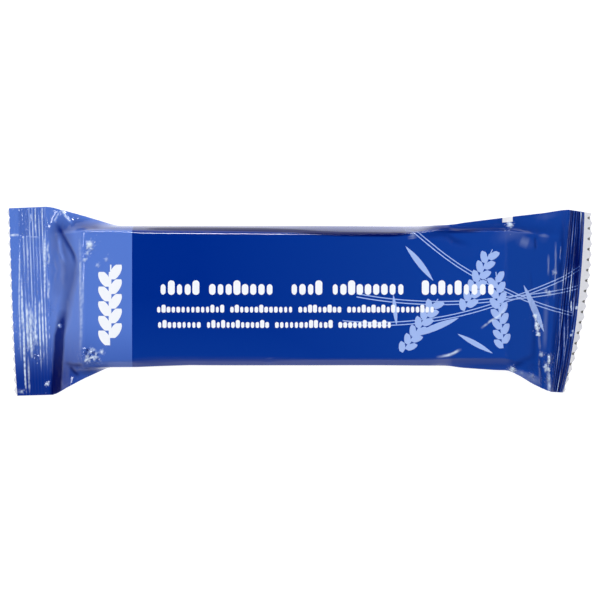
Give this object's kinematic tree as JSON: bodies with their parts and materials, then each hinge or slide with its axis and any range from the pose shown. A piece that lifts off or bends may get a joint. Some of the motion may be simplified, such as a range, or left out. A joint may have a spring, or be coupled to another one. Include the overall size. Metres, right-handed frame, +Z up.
{
  "type": "energy bar",
  "caption": "Cereal bar sealed in a glossy flow-wrap pack, with flat ribbed end seals, saw-cut ends and a back seam folded flat.",
  "frame": {"origin": "the middle of the pack's bounding box, on the surface that the back seam lies on", "axes": "+X along the bar towards the end seal that bends down, +Y across it, +Z up out of the printed face"},
  "size_m": [0.1708, 0.055, 0.0157],
  "materials": {
    "printed_film": "gloss printed film, deep blue with a light blue end panel"
  },
  "bodies": {
    "root": {"wrapper": "printed_film"}
  },
  "joints": []
}
